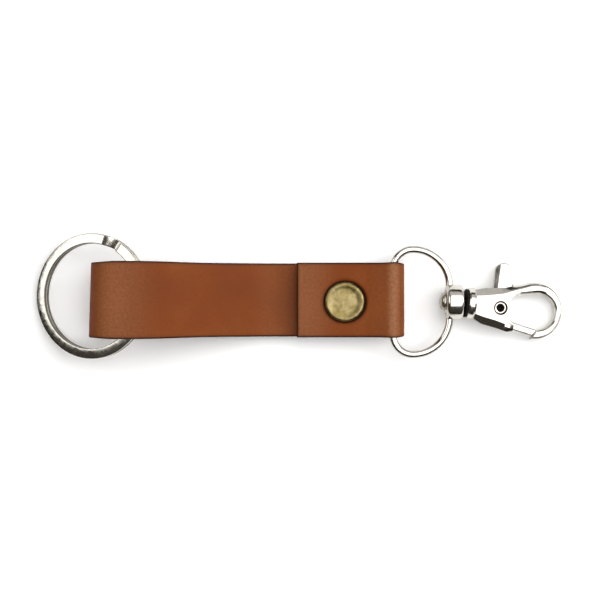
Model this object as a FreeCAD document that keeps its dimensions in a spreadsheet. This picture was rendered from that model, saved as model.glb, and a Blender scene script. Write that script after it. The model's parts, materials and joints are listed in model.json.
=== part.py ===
import FreeCAD, Part
import math
import os
import Sketcher
from FreeCAD import Placement, Rotation, Vector

# Leather key fob, lying on a table: +X runs from the split ring to the snap hook, +Y across
# the strap, +Z up. The origin is under the middle of the whole object, on the table.

SIZES = [
    # leather strap
    ("leather_thick", 1.6), ("strap_width", 19.5), ("strap_shift", -1.0), ("layer_gap", 0.1),
    ("flap_level", 5.2), ("flap_free_end", -0.9), ("middle_end", 17.0), ("fold_gap", 0.05),
    # left loop, round the split ring
    ("loop_left", -53.4), ("loop_radius", 4.8), ("loop_top", 17.7), ("slope_start", -36.5),
    ("slope_angle", 27.0), ("climb_angle", 10.1), ("bend_radius", 12.0), ("rise_radius", 20.0),
    # right fold, round the bar of the swivel eye
    ("bar_along", 23.8), ("bar_level", 5.33), ("fold_radius", 2.2), ("ramp_start", 18.2),
    ("ramp_end", 22.8), ("ramp_radius", 3.5),
    # split ring
    ("coil_radius", 16.0), ("coil_width", 2.6), ("coil_thick", 1.16), ("coil_slit", 0.08),
    ("ring_along", -52.8), ("ring_tilt", 22.5), ("jog_start", 59.5), ("jog_length", 19.0),
    ("jog_gap", 1.3),
    # press stud
    ("snap_along", 11.5), ("snap_shift", -1.45), ("cap_radius", 5.05), ("cap_sink", 0.2),
    ("cap_height", 1.4), ("cap_rim", 1.0), ("cap_dish", 0.25), ("cap_room", 3.6),
    ("rivet_radius", 1.45), ("rivet_bore", 0.8), ("rivet_hole", 1.5), ("plate_thick", 0.25),
    ("cap_post_disc", 3.4), ("socket_radius", 4.5), ("socket_mouth", 2.25),
    ("socket_height", 1.25), ("spring_radius", 2.5), ("spring_wire", 0.2),
    ("stud_base", 4.2), ("stud_base_thick", 0.4), ("stud_neck", 1.55), ("stud_ball", 1.85),
    ("stud_height", 1.5), ("post_disc", 3.9), ("post_disc_thick", 0.4), ("post_sink", 0.5),
    # swivel eye
    ("wire_radius", 1.0), ("eye_half_width", 13.45), ("eye_corner", 4.6), ("eye_reach", 13.95),
    ("eye_shift", -1.5), ("eye_pitch", 2.4), ("arm_end", 3.4), ("collar_start", 13.6),
    ("collar_length", 4.3), ("collar_radius", 4.55), ("collar_bore", 1.85),
    ("collar_recess", 3.1), ("collar_recess_deep", 0.6),
    # swivel rivet, measured along its own axis from the middle of the collar
    ("hook_pitch", 5.9), ("hook_yaw", -5.0), ("shank_radius", 1.5), ("head_radius", 2.35),
    ("head_start", -3.6), ("head_end", -1.95), ("shank_end", 8.2),
    # snap hook
    ("neck_start", 2.75), ("neck_radius", 3.85), ("flange_start", 3.5), ("flange_end", 5.8),
    ("flange_radius", 4.05), ("block_thick", 5.6), ("loop_thick", 3.4), 
    ("outer_along", 20.9), ("outer_across", -0.5), ("outer_radius", 7.35),
    ("inner_along", 21.68), ("inner_across", -0.66), ("inner_radius", 4.57),
    ("nose_radius", 11.5), ("slot_thick", 3.0),
    # gate
    ("pin_along", 11.69), ("pin_across", -0.5), ("pin_radius", 1.55), ("pin_bore", 1.05),
    ("pin_length", 5.0), ("pin_recess", 1.8), ("gate_thick", 2.6), ("hub_radius", 2.35),
    ("hub_bore", 1.6), ("hub_recess", 2.8), ("hub_plate", 1.6), ("gate_reach", 11.2),
    ("coil_wire", 0.2), ("coil_mean", 2.15), ("coil_turn", 300.0), ("coil_leg", 1.2),
]

doc = FreeCAD.newDocument("key_fob")
sheet = doc.addObject("Spreadsheet::Sheet", "Sizes")
for row, (alias, number) in enumerate(SIZES, start=1):
    sheet.set("A%d" % row, alias)
    sheet.set("B%d" % row, str(number))
    sheet.setAlias("B%d" % row, alias)
doc.recompute()


def size(alias):
    return float(getattr(sheet, alias))


def worth(sum_of_names):
    """The value of names and numbers joined by + and -, each apart from the next by a space."""
    total, sign = 0.0, 1.0
    for word in sum_of_names.split():
        if word in "+-":
            sign = 1.0 if word == "+" else -1.0
        else:
            number = float(word) if word[0].isdigit() else size(word)
            total, sign = total + sign * number, 1.0
    return total


def bound(sum_of_names):
    """The same sum as an expression that reads the sheet."""
    words = sum_of_names.split()
    return " ".join(word if word in "+-" or word[0].isdigit() else "Sizes." + word for word in words)


# ---- sketches and solids -------------------------------------------------------------

def new_body(name):
    body = doc.addObject("PartDesign::Body", name)
    body.Label = name
    return body


def new_sketch(body, name, role):
    sketch = body.newObject("Sketcher::SketchObject", name)
    plane = [feature for feature in body.Origin.OriginFeatures if feature.Role == role][0]
    sketch.AttachmentSupport = (plane, [""])
    sketch.MapMode = "FlatFace"
    return sketch


def bound_profile(sketch, corners):
    """A closed outline of straight sides, every corner held by sums of named sizes."""
    points = [Vector(worth(x), worth(y), 0) for x, y in corners]
    for index, point in enumerate(points):
        sketch.addGeometry(Part.LineSegment(point, points[(index + 1) % len(points)]))
    for index, (x, y) in enumerate(corners):
        before = (index - 1) % len(points)
        sketch.addConstraint(Sketcher.Constraint("Coincident", before, 2, index, 1))
        for way, axis, value in (("DistanceX", -2, x), ("DistanceY", -1, y)):
            if value == "0":
                sketch.addConstraint(Sketcher.Constraint("PointOnObject", index, 1, axis))
            else:
                number = sketch.addConstraint(Sketcher.Constraint(way, -1, 1, index, 1, worth(value)))
                sketch.setExpression("Constraints[%d]" % number, bound(value))


def turned(name, corners, axis, placement):
    """A piece turned round an axis of its own: V_Axis is +Z, H_Axis is +X."""
    body = new_body(name)
    sketch = new_sketch(body, name + "_profile", "XZ_Plane")
    bound_profile(sketch, corners)
    turn = body.newObject("PartDesign::Revolution", name + "_turned")
    turn.Profile = sketch
    turn.ReferenceAxis = (sketch, [axis])
    turn.Angle = 360.0
    body.Placement = placement
    return body


def padded(body, sketch, name, thick):
    pad = body.newObject("PartDesign::Pad", name)
    pad.Profile = sketch
    pad.Midplane = True
    pad.setExpression("Length", bound(thick))
    return pad


def pocketed(body, sketch, name, deep, both_ways=True, flip=False):
    pocket = body.newObject("PartDesign::Pocket", name)
    pocket.Profile = sketch
    pocket.Midplane = both_ways
    pocket.Reversed = flip
    pocket.setExpression("Length", bound(deep))
    return pocket


# ---- outlines with rounded corners ---------------------------------------------------

def unit(start, end):
    step = end - start
    return step.multiply(1.0 / step.Length)


def arc_between(start, end, centre, left_turn):
    """The arc of a circle from start to end, as a sketch wants it: anticlockwise."""
    if not left_turn:
        start, end = end, start
    first = math.atan2(start.y - centre.y, start.x - centre.x)
    last = math.atan2(end.y - centre.y, end.x - centre.x)
    if last < first:
        last += 2 * math.pi
    circle = Part.Circle(centre, Vector(0, 0, 1), (start - centre).Length)
    return Part.ArcOfCircle(circle, first, last)


def corner(before, at, after, radius, shift=0.0):
    """Start, end, centre and turn of the arc that rounds a corner, moved sideways by shift."""
    a, b = unit(before, at), unit(at, after)
    turn = math.atan2(a.x * b.y - a.y * b.x, a.dot(b))
    reach = radius * math.tan(abs(turn) / 2)
    side_a, side_b = Vector(-a.y, a.x, 0), Vector(-b.y, b.x, 0)
    start = at - a * reach + side_a * shift
    end = at + b * reach + side_b * shift
    centre = at - a * reach + side_a * math.copysign(radius, turn)
    return start, end, centre, turn > 0


def closed_outline(points, radii):
    """Curves of a closed polygon whose corners are rounded; a radius of 0 stays sharp."""
    count, curves, ends = len(points), [], []
    for index, radius in enumerate(radii):
        at = points[index]
        if radius:
            start, end, centre, left = corner(points[index - 1], at, points[(index + 1) % count], radius)
            curves.append(arc_between(start, end, centre, left))
            ends.append((start, end))
        else:
            ends.append((at, at))
    for index in range(count):
        start, end = ends[index][1], ends[(index + 1) % count][0]
        if (end - start).Length > 1e-6:
            curves.append(Part.LineSegment(start, end))
    return curves


def side_line(points, radii, shift):
    """One side of a strip that follows the points, and the two ends of that side."""
    first, last = unit(points[0], points[1]), unit(points[-2], points[-1])
    here = points[0] + Vector(-first.y, first.x, 0) * shift
    begin, curves = here, []
    for index, radius in enumerate(radii, start=1):
        start, end, centre, left = corner(points[index - 1], points[index], points[index + 1], radius, shift)
        if (start - here).Length > 1e-6:
            curves.append(Part.LineSegment(here, start))
        curves.append(arc_between(start, end, centre, left))
        here = end
    finish = points[-1] + Vector(-last.y, last.x, 0) * shift
    if (finish - here).Length > 1e-6:
        curves.append(Part.LineSegment(here, finish))
    return curves, begin, finish


def strip_outline(points, radii, thick):
    """The outline of a strip of leather seen from its edge."""
    left, left_begin, left_finish = side_line(points, radii, thick / 2)
    right, right_begin, right_finish = side_line(points, radii, -thick / 2)
    ends = [Part.LineSegment(left_begin, right_begin), Part.LineSegment(left_finish, right_finish)]
    return left + right + ends


def flat(*pairs):
    return [Vector(x, y, 0) for x, y in pairs]


# ---- leather strap -------------------------------------------------------------------

leather = size("leather_thick")
lower_mid = leather / 2
middle_mid = lower_mid + leather + size("layer_gap")
flap_mid = size("flap_level") + leather / 2
fold_under = size("bar_level") - size("fold_radius")
fold_over = size("bar_level") + size("fold_radius")


def leather_piece(name, points, radii):
    body = new_body(name)
    sketch = new_sketch(body, name + "_edge", "XZ_Plane")
    sketch.addGeometry(strip_outline(points, radii, leather))
    padded(body, sketch, name + "_strip", "strap_width")
    body.Placement = Placement(Vector(0, size("strap_shift"), 0), Rotation())
    return body


def punched(body, name, radius, level, deep, upwards):
    """A round hole in the leather round the press stud's axis, from a level up or down."""
    sketch = new_sketch(body, name, "XY_Plane")
    sketch.AttachmentOffset = Placement(Vector(0, 0, worth(level)), Rotation())
    place = Vector(size("snap_along"), worth("snap_shift - strap_shift"), 0)
    sketch.addGeometry(Part.Circle(place, Vector(0, 0, 1), worth(radius)))
    return pocketed(body, sketch, name + "_cut", deep, both_ways=False, flip=upwards)


def make_strap_main():
    """From the right fold, flat under everything, round the split ring and back on top."""
    loop = size("loop_radius")
    left = size("loop_left") + leather / 2
    top = size("loop_top") - leather / 2
    slope = math.radians(size("slope_angle"))
    slope_end = size("slope_start") + (top - middle_mid) / math.tan(slope)
    # The lower layer climbs at one angle and then turns straight up into the loop.
    climb = math.radians(size("climb_angle"))
    low = top - loop - loop * math.tan((math.pi / 2 - climb) / 2)
    foot = left + (low - lower_mid) / math.tan(climb)
    points = flat((size("bar_along"), fold_under), (size("ramp_end"), fold_under),
                  (size("ramp_start"), lower_mid), (foot, lower_mid), (left, low), (left, top),
                  (size("slope_start"), top), (slope_end, middle_mid),
                  (size("middle_end"), middle_mid))
    ramp = size("ramp_radius")
    radii = [ramp / 2, ramp, size("rise_radius"), loop, loop, size("bend_radius"), size("bend_radius")]
    body = leather_piece("strap_main", points, radii)
    doc.recompute()
    top_of_middle = "leather_thick + leather_thick + layer_gap"
    punched(body, "strap_main_hole", "rivet_hole", "0", top_of_middle, True)
    punched(body, "strap_main_recess", "post_disc + 0.2", "0", "post_sink", True)
    return body


def make_strap_flap():
    end = size("bar_along")
    points = flat((end, fold_over), (size("ramp_end"), fold_over),
                  (size("ramp_start"), flap_mid), (size("flap_free_end"), flap_mid))
    body = leather_piece("strap_flap", points, [size("ramp_radius")] * 2)
    doc.recompute()
    punched(body, "strap_flap_hole", "rivet_hole", "flap_level", "leather_thick", True)
    punched(body, "strap_flap_recess", "cap_radius + 0.15", "flap_level + leather_thick", "cap_sink", False)
    return body


def make_strap_fold():
    """The half turn of leather round the bar of the swivel eye."""
    gap, right = size("fold_gap"), size("bar_along") + size("fold_radius")
    start = size("bar_along") + gap
    points = flat((start, fold_under), (right, fold_under), (right, fold_over), (start, fold_over))
    turn = size("fold_radius") - gap - 1e-3
    return leather_piece("strap_fold", points, [turn, turn])


# ---- press stud ----------------------------------------------------------------------

snap_place = Placement(Vector(size("snap_along"), size("snap_shift"), 0), Rotation())


def make_snap():
    """Six turned pieces on one upright axis, from the cap down to the post's disc."""
    flap_top = "flap_level + leather_thick"
    seat = flap_top + " - cap_sink"
    top = seat + " + cap_height"
    room = seat + " + plate_thick + plate_thick"
    turned("snap_cap", [
        ("rivet_hole", seat), ("cap_radius - 0.25", seat), ("cap_radius", seat + " + 0.3"),
        ("cap_radius", top + " - 0.5"), ("cap_radius - 0.15", top + " - 0.18"),
        ("cap_radius - 0.45", top), ("cap_radius - cap_rim", top),
        ("cap_radius - cap_rim - 0.5", top + " - cap_dish"), ("0", top + " - cap_dish"),
        ("0", room + " + plate_thick"), ("cap_room", room + " + plate_thick"),
        ("cap_room", room), ("rivet_hole", room)], "V_Axis", snap_place)
    turned("snap_cap_post", [
        ("rivet_bore", "flap_level - 0.2"), ("rivet_radius", "flap_level - 0.2"),
        ("rivet_radius", room), ("cap_post_disc", room),
        ("cap_post_disc", room + " + plate_thick - 0.05"),
        ("rivet_bore", room + " + plate_thick - 0.05")], "V_Axis", snap_place)
    bottom = "flap_level - socket_height"
    turned("snap_socket", [
        ("socket_mouth", bottom), ("socket_radius - 0.3", bottom), ("socket_radius", bottom + " + 0.3"),
        ("socket_radius", "flap_level"), ("rivet_hole", "flap_level"),
        ("rivet_hole", "flap_level - plate_thick"),
        ("cap_room", "flap_level - plate_thick"), ("cap_room", bottom + " + plate_thick"),
        ("socket_mouth", bottom + " + plate_thick")], "V_Axis", snap_place)
    stud_low = "leather_thick + leather_thick + layer_gap"
    stud_top = stud_low + " + stud_height"
    turned("snap_stud", [
        ("rivet_hole", stud_low), ("stud_base", stud_low), ("stud_base", stud_low + " + 0.2"),
        ("stud_base - 0.2", stud_low + " + stud_base_thick"), ("stud_neck", stud_low + " + stud_base_thick"),
        ("stud_neck", stud_top + " - 0.6"), ("stud_ball", stud_top + " - 0.4"),
        ("stud_ball", stud_top + " - 0.2"), ("stud_neck", stud_top), ("0", stud_top),
        ("0", stud_top + " - 0.4"), ("rivet_hole - 0.7", stud_top + " - 0.4"),
        ("rivet_hole - 0.7", stud_low + " + 0.3"), ("rivet_hole", stud_low + " + 0.3")],
        "V_Axis", snap_place)
    disc_low = "post_sink - post_disc_thick"
    turned("snap_post", [
        ("rivet_bore", disc_low), ("post_disc", disc_low), ("post_disc", "post_sink"),
        ("rivet_radius", "post_sink"), ("rivet_radius", stud_low + " + 0.25"),
        ("rivet_bore", stud_low + " + 0.25")], "V_Axis", snap_place)
    spring = doc.addObject("Part::Torus", "snap_socket_spring")
    spring.Label = "snap_socket_spring"
    spring.setExpression("Radius1", "Sizes.spring_radius")
    spring.setExpression("Radius2", "Sizes.spring_wire")
    spring.Placement = Placement(
        snap_place.Base + Vector(0, 0, worth("flap_level - socket_height + 0.55")), Rotation())


# ---- split ring ----------------------------------------------------------------------

def make_split_ring():
    """Flat wire wound twice: each coil stops short of the jog that leads to the other one."""
    outer, thick, slit = size("coil_radius"), size("coil_thick"), size("coil_slit") / 2
    inner = outer - size("coil_width")
    start, length, gap = size("jog_start"), size("jog_length"), size("jog_gap")

    def sector(low, first, sweep):
        base, up = Vector(0, 0, low), Vector(0, 0, 1)
        ring = Part.makeCylinder(outer, thick, base, up, sweep)
        ring = ring.cut(Part.makeCylinder(inner, thick, base, up, 360))
        ring.rotate(Vector(), up, first)
        return ring

    def section(part_way):
        """The wire's cut face at one place along the jog, as a closed wire."""
        angle = math.radians(start + length * part_way)
        low = (thick + 2 * slit) * part_way - thick - slit
        way = Vector(math.cos(angle), math.sin(angle), 0)
        up = Vector(0, 0, 1)
        ring = [way * inner + up * low, way * outer + up * low,
                way * outer + up * (low + thick), way * inner + up * (low + thick)]
        return Part.makePolygon(ring + ring[:1])

    steps = 6
    jog = Part.makeLoft([section(step / steps) for step in range(steps + 1)], True, True)
    past = start + length
    lower = sector(-thick - slit, past + gap, 360 - length - gap)
    upper = sector(slit, past, 360 - length - gap)
    ring = doc.addObject("Part::Feature", "split_ring")
    ring.Label = "split_ring"
    ring.Shape = upper.fuse([jog, lower]).removeSplitter()
    half = (thick + slit) * math.cos(math.radians(size("ring_tilt")))
    level = outer * math.sin(math.radians(size("ring_tilt"))) + half
    ring.Placement = Placement(Vector(size("ring_along"), 0, level),
                               Rotation(Vector(0, 1, 0), -size("ring_tilt")))
    return ring


# ---- swivel eye and its rivet --------------------------------------------------------

eye_place = Placement(Vector(size("bar_along"), size("eye_shift"), size("bar_level")),
                      Rotation(Vector(0, 1, 0), size("eye_pitch")))
collar_middle = Vector(worth("collar_start") + size("collar_length") / 2, 0, 0)
hook_place = Placement(eye_place.multVec(collar_middle),
                       Rotation(Vector(0, 0, 1), size("hook_yaw"))
                       * Rotation(Vector(0, 1, 0), size("hook_pitch")))


def make_swivel_eye():
    """A bent wire cast in one with the collar that the rivet turns in."""
    body = new_body("swivel_eye")
    reach, half, bend = size("eye_reach"), size("eye_half_width"), size("eye_corner")
    shoulder = reach - bend
    path = new_sketch(body, "swivel_eye_path", "XY_Plane")
    points = flat((reach, size("arm_end")), (reach, half), (0, half), (0, -half), (reach, -half),
                  (reach, -size("arm_end")))
    curves, _, _ = side_line(points, [shoulder - 1e-3, bend, bend, shoulder - 1e-3], 0)
    path.addGeometry(curves)
    wire = new_sketch(body, "swivel_eye_wire", "XZ_Plane")
    wire.AttachmentOffset = Placement(Vector(0, 0, -size("arm_end")), Rotation())
    wire.addGeometry(Part.Circle(Vector(reach, 0, 0), Vector(0, 0, 1), size("wire_radius")))
    wire.addConstraint(Sketcher.Constraint("Radius", 0, size("wire_radius")))
    wire.setExpression("Constraints[0]", bound("wire_radius"))
    pipe = body.newObject("PartDesign::AdditivePipe", "swivel_eye_bent")
    pipe.Profile = wire
    pipe.Spine = (path, [])
    doc.recompute()
    collar = new_sketch(body, "swivel_eye_collar", "XZ_Plane")
    start, end = "collar_start", "collar_start + collar_length"
    recess = start + " + collar_recess_deep"
    bound_profile(collar, [
        (start, "collar_recess"), (start, "collar_radius - 0.5"), (start + " + 0.5", "collar_radius"),
        (end + " - 0.4", "collar_radius"), (end, "collar_radius - 0.4"), (end, "collar_bore"),
        (recess, "collar_bore"), (recess, "collar_recess")])
    turn = body.newObject("PartDesign::Revolution", "swivel_eye_collar_turned")
    turn.Profile = collar
    turn.ReferenceAxis = (collar, ["H_Axis"])
    turn.Angle = 360.0
    body.Placement = eye_place
    return body


def make_swivel_rivet():
    return turned("swivel_rivet", [
        ("- 3.6", "0"), ("- 3.6", "head_radius - 0.7"), ("- 3.3", "head_radius - 0.2"),
        ("- 2.9", "head_radius"), ("head_end", "head_radius"), ("head_end", "shank_radius"),
        ("shank_end", "shank_radius"), ("shank_end", "0")], "H_Axis", hook_place)


# ---- snap hook -----------------------------------------------------------------------

outer_middle = Vector(size("outer_along"), size("outer_across"), 0)
inner_middle = Vector(size("inner_along"), size("inner_across"), 0)
pin_middle = Vector(size("pin_along"), size("pin_across"), 0)


def touching(centre, radius, point):
    """Where a line from a point on the left touches the upper side of a circle."""
    away = point - centre
    angle = math.atan2(away.y, away.x) - math.acos(radius / away.Length)
    return centre + Vector(math.cos(angle), math.sin(angle), 0) * radius


def crossing(centre, radius, reach):
    """Where a circle is crossed, below, by the arc that the gate's tip runs inside."""
    first, second = Part.Circle(centre, Vector(0, 0, 1), radius), Part.Circle(pin_middle, Vector(0, 0, 1), reach)
    points = [Vector(spot.X, spot.Y, 0) for spot in first.intersect(second)]
    return min(points, key=lambda spot: spot.y)


def hook_loop_outline():
    """The bent finger: it leaves the block above and comes round to the nose below."""
    outer_root, inner_root = Vector(12.6, 4.75, 0), Vector(12.6, 2.1, 0)
    outer_touch = touching(outer_middle, size("outer_radius"), outer_root)
    inner_touch = touching(inner_middle, size("inner_radius"), inner_root)
    outer_nose = crossing(outer_middle, size("outer_radius"), size("nose_radius"))
    inner_nose = crossing(inner_middle, size("inner_radius"), size("nose_radius"))
    return [Part.LineSegment(inner_root, outer_root), Part.LineSegment(outer_root, outer_touch),
            arc_between(outer_touch, outer_nose, outer_middle, False),
            arc_between(inner_nose, outer_nose, pin_middle, False),
            arc_between(inner_nose, inner_touch, inner_middle, True),
            Part.LineSegment(inner_touch, inner_root)]


def make_hook_body():
    body = new_body("hook_body")
    block = new_sketch(body, "hook_block_outline", "XY_Plane")
    block.addGeometry(closed_outline(
        flat((5.2, -3.9), (5.2, 3.6), (7.2, 4.15), (12.6, 4.9), (17.6, 6.05), (17.2, 3.3),
             (13.7, 2.4), (14.1, -4.1), (15.7, -4.3), (15.4, -6.6), (12.2, -6.0), (7.2, -4.95)),
        [0, 0, 3, 0, 0.6, 0.8, 1.8, 0.8, 0.3, 0.5, 0, 3]))
    padded(body, block, "hook_block", "block_thick")
    doc.recompute()
    loop = new_sketch(body, "hook_loop_outline", "XY_Plane")
    loop.addGeometry(hook_loop_outline())
    padded(body, loop, "hook_loop", "loop_thick")
    neck = new_sketch(body, "hook_neck_profile", "XZ_Plane")
    bound_profile(neck, [
        ("neck_start", "0"), ("neck_start", "neck_radius - 0.3"), ("neck_start + 0.3", "neck_radius"),
        ("flange_start", "neck_radius"), ("flange_start", "flange_radius - 0.3"),
        ("flange_start + 0.3", "flange_radius"), ("flange_end - 0.3", "flange_radius"),
        ("flange_end", "flange_radius - 0.3"), ("flange_end + 1.2", "2.6"), ("flange_end + 1.2", "0")])
    turn = body.newObject("PartDesign::Revolution", "hook_neck")
    turn.Profile = neck
    turn.ReferenceAxis = (neck, ["H_Axis"])
    turn.Angle = 360.0
    doc.recompute()
    bore = new_sketch(body, "hook_rivet_profile", "XZ_Plane")
    bound_profile(bore, [("neck_start - 1", "0"), ("neck_start - 1", "shank_radius"), ("shank_end + 0.1", "shank_radius"),
                         ("shank_end + 0.1", "0")])
    groove = body.newObject("PartDesign::Groove", "hook_rivet_bore")
    groove.Profile = bore
    groove.ReferenceAxis = (bore, ["H_Axis"])
    groove.Angle = 360.0
    slot = new_sketch(body, "hook_slot_outline", "XY_Plane")
    slot.addGeometry(closed_outline(
        flat((8.95, -0.5), (6.9, 3.1), (6.6, 8.0), (15.3, 8.0), (15.25, 5.5), (14.3, 1.6),
             (18.0, 1.6), (18.0, -6.75), (12.1, -4.75), (9.4, -2.7)), [0] * 10))
    pocketed(body, slot, "hook_slot", "slot_thick")
    pin_hole = new_sketch(body, "hook_pin_hole", "XY_Plane")
    pin_hole.addGeometry(Part.Circle(pin_middle, Vector(0, 0, 1), size("pin_radius")))
    pocketed(body, pin_hole, "hook_pin_bore", "block_thick + 1")
    for name, level, upwards in (("hook_pin_recess_top", 1, True), ("hook_pin_recess_low", -1, False)):
        recess = new_sketch(body, name, "XY_Plane")
        recess.AttachmentOffset = Placement(Vector(0, 0, level * (size("block_thick") / 2 - 0.3)), Rotation())
        recess.addGeometry(Part.Circle(pin_middle, Vector(0, 0, 1), size("pin_recess")))
        pocketed(body, recess, name + "_cut", "1", both_ways=False, flip=upwards)
    body.Placement = hook_place
    return body


def make_gate_lever():
    """Thumb piece, hub and gate arm in one flat casting."""
    body = new_body("gate_lever")
    reach = size("gate_reach")

    def tip(across):
        return pin_middle.x + math.sqrt(reach ** 2 - (across - pin_middle.y) ** 2), across

    arms = new_sketch(body, "gate_outline", "XY_Plane")
    arms.addGeometry(closed_outline(
        flat((9.75, -0.5), (9.95, 9.7), (11.9, 11.1), (14.3, 9.9), (14.9, 5.7), (13.7, 1.9),
             (13.5, -2.7), (15.9, -3.95), tip(-5.3), tip(-7.05), (15.4, -5.85), (12.2, -4.3),
             (10.2, -2.4)),
        [0.5, 1.2, 1.4, 1.2, 1.0, 1.5, 1.0, 0.8, 0.2, 0.2, 1.0, 1.0, 1.0]))
    padded(body, arms, "gate_arms", "gate_thick")
    hub = new_sketch(body, "gate_hub_outline", "XY_Plane")
    hub.addGeometry(Part.Circle(pin_middle, Vector(0, 0, 1), size("hub_radius")))
    padded(body, hub, "gate_hub", "gate_thick")
    doc.recompute()
    bore = new_sketch(body, "gate_bore_outline", "XY_Plane")
    bore.addGeometry(Part.Circle(pin_middle, Vector(0, 0, 1), size("hub_bore")))
    pocketed(body, bore, "gate_bore", "gate_thick + 1")
    room = new_sketch(body, "gate_spring_room", "XY_Plane")
    room.AttachmentOffset = Placement(Vector(0, 0, size("hub_plate") - size("gate_thick") / 2), Rotation())
    room.addGeometry(Part.Circle(pin_middle, Vector(0, 0, 1), size("hub_recess")))
    pocketed(body, room, "gate_spring_cut", "gate_thick", both_ways=False, flip=True)
    body.Placement = hook_place
    return body


def make_gate_pin():
    body = new_body("gate_pin")
    ring = new_sketch(body, "gate_pin_ring", "XY_Plane")
    for radius in ("pin_radius", "pin_bore"):
        ring.addGeometry(Part.Circle(Vector(), Vector(0, 0, 1), size(radius)))
    padded(body, ring, "gate_pin_tube", "pin_length")
    body.Placement = hook_place * Placement(pin_middle, Rotation())
    return body


def make_gate_spring():
    """Torsion spring in the lever's hub: one turn round the pin and two straight legs."""
    wire, mean, leg = size("coil_wire"), size("coil_mean"), size("coil_leg")
    up = Vector(0, 0, 1)
    turn = Part.makeTorus(mean, wire, Vector(), up, 0, 360, size("coil_turn"))
    ends = []
    for angle, way in ((0.0, -1), (math.radians(size("coil_turn")), 1)):
        foot = Vector(math.cos(angle), math.sin(angle), 0) * mean
        ends.append(Part.makeCylinder(wire, leg, foot, Vector(-math.sin(angle), math.cos(angle), 0) * way))
    spring = doc.addObject("Part::Feature", "gate_spring")
    spring.Label = "gate_spring"
    spring.Shape = turn.fuse(ends).removeSplitter()
    lift = size("hub_plate") - size("gate_thick") / 2 + size("coil_wire") + 0.2
    spring.Placement = hook_place * Placement(pin_middle + Vector(0, 0, lift), Rotation(up, 60))
    return spring


make_strap_main()
make_strap_flap()
make_strap_fold()
make_snap()
make_split_ring()
make_swivel_eye()
make_swivel_rivet()
make_hook_body()
make_gate_lever()
make_gate_pin()
make_gate_spring()
doc.recompute()

NODES = ["strap_main", "strap_fold", "strap_flap", "snap_cap", "snap_cap_post", "snap_socket",
         "snap_socket_spring", "snap_stud", "snap_post", "split_ring", "swivel_eye",
         "swivel_rivet", "hook_body", "gate_lever", "gate_pin", "gate_spring"]

faults = [item.Name for item in doc.Objects if "Invalid" in item.State or "Error" in item.State]
for name in NODES:
    shape = doc.getObject(name).Shape
    if shape.isNull() or not shape.isValid() or not shape.Solids:
        faults.append(name)
if faults:
    raise SystemExit("not built: " + ", ".join(faults))

os.makedirs("parts", exist_ok=True)
for name in NODES:
    doc.getObject(name).Shape.exportStep("parts/%s.step" % name)
    box = doc.getObject(name).Shape.BoundBox
    print("%-20s %8.2f %8.2f %8.2f %8.2f %8.2f %8.2f  %9.2f mm3  %d solid" % (
        name, box.XMin, box.XMax, box.YMin, box.YMax, box.ZMin, box.ZMax,
        doc.getObject(name).Shape.Volume, len(doc.getObject(name).Shape.Solids)))
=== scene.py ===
import json
import math

import bmesh
import bpy
from mathutils import Matrix, Vector


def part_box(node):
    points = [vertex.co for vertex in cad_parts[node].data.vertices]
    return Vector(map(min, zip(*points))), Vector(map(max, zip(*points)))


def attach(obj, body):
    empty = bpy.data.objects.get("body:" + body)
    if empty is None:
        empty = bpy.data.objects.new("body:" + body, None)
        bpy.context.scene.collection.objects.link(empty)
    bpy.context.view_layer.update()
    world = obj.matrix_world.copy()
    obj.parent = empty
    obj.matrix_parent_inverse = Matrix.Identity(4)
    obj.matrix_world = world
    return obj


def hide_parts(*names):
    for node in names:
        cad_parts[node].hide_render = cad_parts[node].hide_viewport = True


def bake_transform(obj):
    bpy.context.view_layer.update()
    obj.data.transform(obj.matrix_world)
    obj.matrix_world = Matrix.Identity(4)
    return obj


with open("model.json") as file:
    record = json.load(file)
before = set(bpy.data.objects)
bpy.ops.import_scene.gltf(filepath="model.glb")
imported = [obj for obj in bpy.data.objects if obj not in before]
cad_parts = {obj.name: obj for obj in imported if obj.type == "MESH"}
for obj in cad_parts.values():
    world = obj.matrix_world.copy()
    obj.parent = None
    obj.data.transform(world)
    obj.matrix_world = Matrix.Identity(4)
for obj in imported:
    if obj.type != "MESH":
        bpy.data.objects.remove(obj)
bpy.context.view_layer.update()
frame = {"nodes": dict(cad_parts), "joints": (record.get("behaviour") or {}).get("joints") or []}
scene = bpy.context.scene
scene.view_settings.view_transform = "Standard"
MM = 0.001

# ---- Camera ---------------------------------------------------------------------------
# A camera on a copy stand, looking straight down at the fob with +X to the right.
# A long lens 43 cm up keeps the strap's raised left loop only a little larger.

camera_height = 430 * MM
focus_level = 5 * MM
seen_width = 153.6 * MM

camera = bpy.data.objects.new("copy_stand_camera", bpy.data.cameras.new("copy_stand_camera"))
scene.collection.objects.link(camera)
scene.camera = camera
camera.location = (0.1 * MM, -1.0 * MM, camera_height)
camera.data.lens = camera.data.sensor_width * (camera_height - focus_level) / seen_width
camera.data.clip_start = 10 * MM

# ---- Studio ---------------------------------------------------------------------------
# A white board under the fob, one large softbox above it and a smaller one to the right.
# The room fades to dark at the horizon, which gives the polished metal its dark lines.


def linear(colour):
    """An sRGB hex colour as the linear values that a shader takes."""
    parts = [int(colour[at:at + 2], 16) / 255 for at in (1, 3, 5)]
    return tuple(c / 12.92 if c <= 0.04045 else ((c + 0.055) / 1.055) ** 2.4 for c in parts) + (1.0,)


def add_node(tree, kind, inputs=(), **settings):
    """A node with its settings, and its inputs given as values or as sockets to link."""
    node = tree.nodes.new(kind)
    for name, value in settings.items():
        setattr(node, name, value)
    for name, value in dict(inputs).items():
        if isinstance(value, bpy.types.NodeSocket):
            tree.links.new(value, node.inputs[name])
        else:
            node.inputs[name].default_value = value
    return node


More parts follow.
